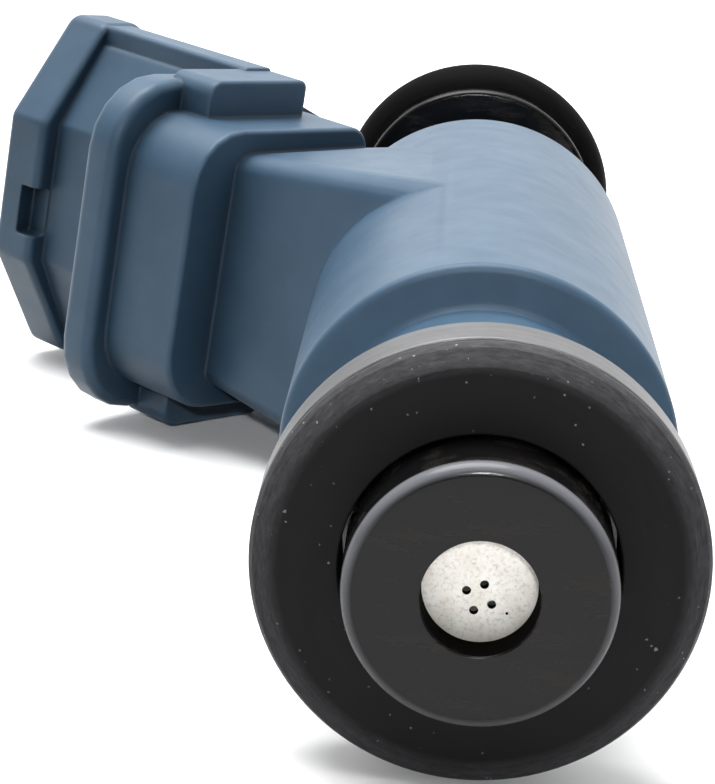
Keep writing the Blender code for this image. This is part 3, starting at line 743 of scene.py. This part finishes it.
def connector_solids():
    """Neck, shoulder block with its lip, backing plate, shell and rim."""
    neck_section = slab_section(NECK_HALF_WIDTH, -NECK_HALF_WIDTH, NECK_HALF_HEIGHTS[0], MM, MM)
    pieces = [
        swept("neck_block", neck_section, 0.0, BLOCK_LOW + MM, BLUE, 0.0, 0.0, steps=1,
              warp=neck_warp),
        swept("shoulder_block", slab_section(*SHOULDER_SLAB), BLOCK_LOW, BLOCK_HIGH - 0.5 * MM,
              BLUE, 0.2 * MM, 0.1 * MM),
        swept("shoulder_lip", slab_section(*LIP_SLAB), BLOCK_HIGH - LIP_THICKNESS, BLOCK_HIGH,
              BLUE, 0.5 * MM, 0.5 * MM),
        swept("backing_plate", slab_section(*PLATE_SLAB), PLATE_START, BLOCK_HIGH - MM, BLUE,
              0.15 * MM, 0.15 * MM),
        swept("shell", rim_section(RIM_PROUD), BLOCK_HIGH - 1.2 * MM, MOUTH - 0.5 * MM, BLUE,
              0.1 * MM, 0.1 * MM),
        swept("rim", rim_section(0.0), MOUTH - RIM_THICKNESS, MOUTH, BLUE, 0.4 * MM, 0.4 * MM),
    ]
    inner, outer = RIDGE_SPAN
    for side in (1, -1):
        middle = side * (inner + outer) / 2
        half = (outer - inner) / 2
        pieces.append(swept(f"ridge_{side}", ridge_section(middle, half), BLOCK_HIGH - 1.5 * MM,
                            MOUTH - 0.7 * MM, BLUE, 0.1 * MM, 0.1 * MM))
    return pieces


def ridge_section(middle, half):
    """A keying ridge that runs along the top or bottom of the shell."""
    near, far = RIDGE_SIDES

    def section(inset):
        radius = max(0.25 * MM - inset, 0.03 * MM)
        return softened([
            (near - inset, middle - half + inset, radius),
            (near - inset, middle + half - inset, radius),
            (far + inset, middle + half - inset, radius),
            (far + inset, middle - half + inset, radius),
        ])
    return section


def notch_section(inset):
    """The catch recess in the back edge of the rim, a little below the middle."""
    floor = RIM_NEAR - RIM_PROUD + 0.1 * MM
    outside = 4.4 * MM
    bottom, top = -2.2 * MM + inset, 0.2 * MM - inset
    radius = 0.2 * MM
    return softened([
        (outside, bottom, radius), (outside, top, radius),
        (floor, top, radius), (floor, bottom, radius),
    ])


PIN_PITCH = 4.6 * MM
PIN_Q = -1.9 * MM
PIN_SIZE = (0.6 * MM, 1.5 * MM)
PIN_TIP = 23.0 * MM
PIN_BEND = 7.4 * MM
PIN_FOOT = 2.8 * MM


def pin_channel(side):
    """The cutter for the slot that a terminal passes through in the moulding."""
    margin = 0.2 * MM
    half_q = PIN_SIZE[0] / 2 + margin
    half_t = PIN_SIZE[1] / 2 + margin
    centre_t = side * PIN_PITCH / 2

    def section(inset):
        return [
            (PIN_Q + half_q, centre_t - half_t), (PIN_Q + half_q, centre_t + half_t),
            (PIN_Q - half_q, centre_t + half_t), (PIN_Q - half_q, centre_t - half_t),
        ]
    return swept("channel", section, PIN_BEND - 0.4 * MM, SOCKET_FLOOR + MM, BLUE, 0.0, 0.0, steps=1)


def crisp_junction(body):
    """Keeps the shading of barrel and neck apart along the shallow line where they meet."""
    bm = bmesh.new()
    bm.from_mesh(body.data)
    for edge in bm.edges:
        reach = [math.hypot(v.co.x - NOZZLE.x, v.co.z - NOZZLE.z) for v in edge.verts]
        on_barrel = max(abs(radius - BARREL_RADIUS) for radius in reach) < 0.01 * MM
        if on_barrel and edge.calc_face_angle(0.0) > math.radians(10.0):
            edge.smooth = False
    bm.to_mesh(body.data)
    bm.free()
    return body


def body_moulding():
    """The barrel with the connector joined on and its hollows cut out."""
    body = combine(body_core(), connector_solids(), "UNION")
    wall = RIM_PROUD + SHELL_WALL
    notch_back = MOUTH - RIM_THICKNESS
    cutters = [
        body_hollow(),
        swept("socket", rim_section(wall), SOCKET_FLOOR, MOUTH + 2.0 * MM, BLUE, 0.3 * MM, 0.0),
        swept("notch", notch_section, notch_back - 0.5 * MM, notch_back + 1.1 * MM, BLUE,
              0.0, 0.15 * MM),
        pin_channel(1),
        pin_channel(-1),
    ]
    return crisp_junction(shaded(combine(body, cutters, "DIFFERENCE"), 28.0))


def terminal_pin(name, side):
    """A flat blade: a foot along the injector's axis, then a run out to a tapered tip."""
    taper = 0.8 * MM
    foot = (PIN_BEND - PIN_FOOT * math.sin(LEAN), PIN_Q + PIN_FOOT * math.cos(LEAN))
    bend = (math.pi / 2 - LEAN) / 2
    stages = [
        (foot, (math.cos(LEAN), math.sin(LEAN)), 1.0),
        ((PIN_BEND, PIN_Q), (math.sin(bend), math.cos(bend)), 1.0 / math.cos(bend)),
        ((PIN_TIP - taper, PIN_Q), (0.0, 1.0), 1.0),
        ((PIN_TIP, PIN_Q), (0.0, 1.0), 0.45),
    ]
    bm = bmesh.new()
    rings = []
    for (c, q), (side_c, side_q), scale in stages:
        half_q = PIN_SIZE[0] / 2 * scale
        half_t = PIN_SIZE[1] / 2 * min(scale, 1.0)
        ring = []
        for dq, dt in ((-1, -1), (1, -1), (1, 1), (-1, 1)):
            corner = (c + side_c * dq * half_q, q + side_q * dq * half_q)
            ring.append(bm.verts.new((*corner, side * PIN_PITCH / 2 + dt * half_t)))
        rings.append(ring)
    for first, second in zip(rings, rings[1:]):
        for k in range(4):
            bm.faces.new((first[k], first[(k + 1) % 4], second[(k + 1) % 4], second[k]))
    bm.faces.new(rings[0])
    bm.faces.new(rings[-1])
    pin = as_object(bm, name, TINNED, CONNECTOR)
    rounding = pin.modifiers.new("rounding", "BEVEL")
    rounding.width = 0.08 * MM
    rounding.segments = 3
    return shaded(pin, 40.0)


# Inlet end

def inlet_tube():
    """Fixed core and inlet in one tube, widened behind the collar to carry the upper seal."""
    front, back = stations("inlet_tube")
    collar_end = stations("body_housing")[1]
    bore = 1.5 * MM
    pocket = 2.75 * MM
    pocket_start, pocket_full = 54.2 * MM, 55.8 * MM
    seat = 3.6 * MM
    flange, flange_start = 4.1 * MM, 66.9 * MM
    outline = softened([
        (front, bore, 0.0),
        (front, TUBE_RADIUS, 0.0),
        (collar_end + 0.6 * MM, TUBE_RADIUS, 0.3 * MM),
        (collar_end + 1.6 * MM, seat, 0.3 * MM),
        (flange_start, seat, 0.12 * MM),
        (flange_start, flange, 0.1 * MM),
        (back, flange, 0.28 * MM),
        (back, pocket, 0.15 * MM),
        (pocket_full, pocket, 0.2 * MM),
        (pocket_start, bore, 0.2 * MM),
    ])
    return shaded(turned("tube", outline, TUBE_STEEL))


def backup_ring():
    """The black ring on the body side of the upper seal."""
    front, back = stations("backup_ring")
    inner, outer = 3.9 * MM, 6.3 * MM
    outline = softened([
        (front, inner, 0.1 * MM),
        (front, outer, 0.28 * MM),
        (back, outer, 0.08 * MM),
        (back, inner, 0.1 * MM),
    ])
    return shaded(turned("spacer", outline, BLACK))


def upper_seal():
    """An O-ring with the thin line that its mould leaves round the outside."""
    low, high = stations("upper_seal")
    middle = (low + high) / 2
    section = (high - low) / 2
    mean = outer_radius("upper_seal") - section
    flash = 0.03 * MM
    sides = 48
    outline = []
    for k in range(sides):
        angle = math.tau * k / sides
        reach = section if k == sides // 4 else section - flash
        outline.append((middle + reach * math.cos(angle), mean + reach * math.sin(angle)))
    return shaded(turned("o_ring", outline, O_RING_RUBBER), 60.0)


def seal_retainer():
    """The black ring that keeps the upper seal on the tube."""
    front, back = stations("seal_retainer")
    inner, outer = 4.4 * MM, 5.9 * MM
    outline = softened([
        (front, inner, 0.1 * MM),
        (front, outer, 0.1 * MM),
        (back, outer, 0.32 * MM),
        (back, inner, 0.1 * MM),
    ])
    return shaded(turned("retainer", outline, BLACK))


def filter_basket():
    """A nylon basket with three windows, open towards the inlet."""
    front, back = stations("filter_frame")
    outer = outer_radius("filter_frame")
    inner = outer - 0.45 * MM
    floor = front + 0.8 * MM
    outline = softened([
        (front, 0.0, 0.0), (front, outer, 0.2 * MM), (back, outer, 0.08 * MM),
        (back, inner, 0.08 * MM), (floor, inner, 0.15 * MM), (floor, 0.0, 0.0),
    ])
    basket = turned("basket", outline, NATURAL, 72)
    half_width = 1.35 * MM
    window_front = front + 1.8 * MM
    window_back = back - 1.8 * MM

    def section(inset):
        return softened([
            (window_front, -half_width, 0.3 * MM), (window_back, -half_width, 0.3 * MM),
            (window_back, half_width, 0.3 * MM), (window_front, half_width, 0.3 * MM),
        ])

    windows = []
    for k in range(3):
        turn = Matrix.Rotation(math.tau * k / 3, 4, "Y")
        windows.append(swept("window", section, 0.6 * MM, 4.0 * MM, NATURAL, 0.0, 0.0,
                             INJECTOR @ turn, steps=1))
    return shaded(combine(basket, windows, "DIFFERENCE"))


def filter_sleeve():
    """The gauze cup inside the basket."""
    front, back = stations("filter_mesh")
    outer = outer_radius("filter_mesh")
    inner = outer - 0.2 * MM
    floor = front + 0.2 * MM
    outline = softened([
        (front, 0.0, 0.0), (front, outer, 0.15 * MM), (back, outer, 0.05 * MM),
        (back, inner, 0.05 * MM), (floor, inner, 0.1 * MM), (floor, 0.0, 0.0),
    ], 3)
    return shaded(turned("gauze", outline, GAUZE, 72))


def filter_collar():
    """The brass ring that holds the filter in the inlet."""
    front, back = stations("filter_ring")
    inner = 1.9 * MM
    outer = outer_radius("filter_ring")
    outline = softened([
        (front, inner, 0.05 * MM), (front, outer, 0.1 * MM),
        (back, outer, 0.12 * MM), (back, inner, 0.12 * MM),
    ])
    return shaded(turned("collar", outline, BRASS, 72))


fitted(nozzle_cap(), "black_plastic", "nozzle_cap")
fitted(orifice_disc(), "bright_steel", "orifice_disc")
fitted(lower_seal(), "rubber", "lower_seal")
fitted(backing_ring(), "steel", "seal_ring")
fitted(body_moulding(), "blue_plastic", "body_housing")
fitted(terminal_pin("terminal_upper", 1), "brass", "terminal_pin_upper")
fitted(terminal_pin("terminal_lower", -1), "brass", "terminal_pin_lower")
fitted(inlet_tube(), "steel", "inlet_tube")
fitted(backup_ring(), "black_plastic", "backup_ring")
fitted(upper_seal(), "rubber", "upper_seal")
fitted(seal_retainer(), "black_plastic", "seal_retainer")
fitted(filter_basket(), "natural_plastic", "filter_frame")
fitted(filter_sleeve(), "filter_steel", "filter_mesh")
fitted(filter_collar(), "brass", "filter_ring")

for node in frame["nodes"].values():
    if node.hide_render:
        continue
    for slot in node.material_slots:
        key = slot.material.name.split(".")[0]
        if key in INNER_LOOKS:
            slot.material = INNER_LOOKS[key]


# Studio

def nozzle_lamp():
    """A snooted lamp from the front and above, only wide enough for the nozzle end."""
    lamp = bpy.data.lights.new("nozzle_lamp", "SPOT")
    lamp.energy = 26.0
    lamp.shadow_soft_size = 0.03
    lamp.spot_size = math.radians(3.4)
    lamp.spot_blend = 0.5
    made = bpy.data.objects.new("nozzle_lamp", lamp)
    away = Vector((0.0, -300.0, 120.0)) * MM
    made.location = NOZZLE + away
    made.rotation_mode = "QUATERNION"
    made.rotation_quaternion = (-away).to_track_quat("-Z", "Y")
    bpy.context.scene.collection.objects.link(made)


def key_sun():
    """A wide soft key from overhead, which leaves the faces turned to the floor dark."""
    lamp = bpy.data.lights.new("key", "SUN")
    lamp.energy = 4.4
    lamp.angle = math.radians(46.0)
    made = bpy.data.objects.new("key", lamp)
    made.rotation_mode = "QUATERNION"
    made.rotation_quaternion = Vector((0.18, -0.1, -1.0)).to_track_quat("-Z", "Y")
    bpy.context.scene.collection.objects.link(made)


def pale_floor():
    """A pale floor that gives reflections but no bounced light, so that undersides stay dark."""
    bm = bmesh.new()
    bmesh.ops.create_grid(bm, x_segments=4, y_segments=4, size=3.0)
    look = Look("pale_floor", (0.9, 0.9, 0.9), 0.8)
    floor = as_object(bm, "floor", look.material, Matrix.Identity(4))
    floor.visible_diffuse = False


def soft_world():
    """White light that comes mostly from behind and above, so that front faces stay deep in tone."""
    world = bpy.data.worlds.new("soft_white")
    bpy.context.scene.world = world
    world.use_nodes = True
    nodes, links = world.node_tree.nodes, world.node_tree.links
    place = nodes.new("ShaderNodeTexCoord")
    facing = nodes.new("ShaderNodeVectorMath")
    facing.operation = "DOT_PRODUCT"
    facing.inputs[1].default_value = Vector((0.0, 0.8, 0.6)).normalized()
    links.new(place.outputs["Generated"], facing.inputs[0])
    strength = nodes.new("ShaderNodeMapRange")
    strength.interpolation_type = "SMOOTHSTEP"
    shades = {"From Min": -0.3, "From Max": 0.8, "To Min": 0.03, "To Max": 1.55}
    for socket, value in shades.items():
        strength.inputs[socket].default_value = value
    links.new(facing.outputs["Value"], strength.inputs["Value"])
    background = nodes["Background"]
    background.inputs["Color"].default_value = (1.0, 1.0, 1.0, 1.0)
    links.new(strength.outputs["Result"], background.inputs["Strength"])


# Close to the nozzle, a little above it, and rolled with the injector
CAMERA_OFFSET = Vector((-2.781, -71.195, 25.821)) * MM
CAMERA_AZIMUTH = math.radians(1.158)
CAMERA_ELEVATION = math.radians(15.446)
CAMERA_ROLL = math.radians(4.785)
CAMERA_LENS = 114.65


def camera():
    """A long lens that looks along the injector from just above its nozzle."""
    data = bpy.data.cameras.new("camera")
    data.lens = CAMERA_LENS
    data.sensor_width = 36.0
    data.clip_start = 0.005
    data.clip_end = 10.0
    made = bpy.data.objects.new("camera", data)
    forward = Vector((
        -math.sin(CAMERA_AZIMUTH) * math.cos(CAMERA_ELEVATION),
        math.cos(CAMERA_AZIMUTH) * math.cos(CAMERA_ELEVATION),
        -math.sin(CAMERA_ELEVATION),
    ))
    right = forward.cross(Vector((0.0, 0.0, 1.0))).normalized()
    up = right.cross(forward)
    turned_right = math.cos(CAMERA_ROLL) * right + math.sin(CAMERA_ROLL) * up
    turned_up = -math.sin(CAMERA_ROLL) * right + math.cos(CAMERA_ROLL) * up
    facing = Matrix((turned_right, turned_up, -forward)).transposed()
    made.matrix_world = Matrix.Translation(NOZZLE + CAMERA_OFFSET) @ facing.to_4x4()
    bpy.context.scene.collection.objects.link(made)
    bpy.context.scene.camera = made


soft_world()
pale_floor()
key_sun()
nozzle_lamp()
camera()
bpy.context.scene.view_settings.view_transform = "Standard"
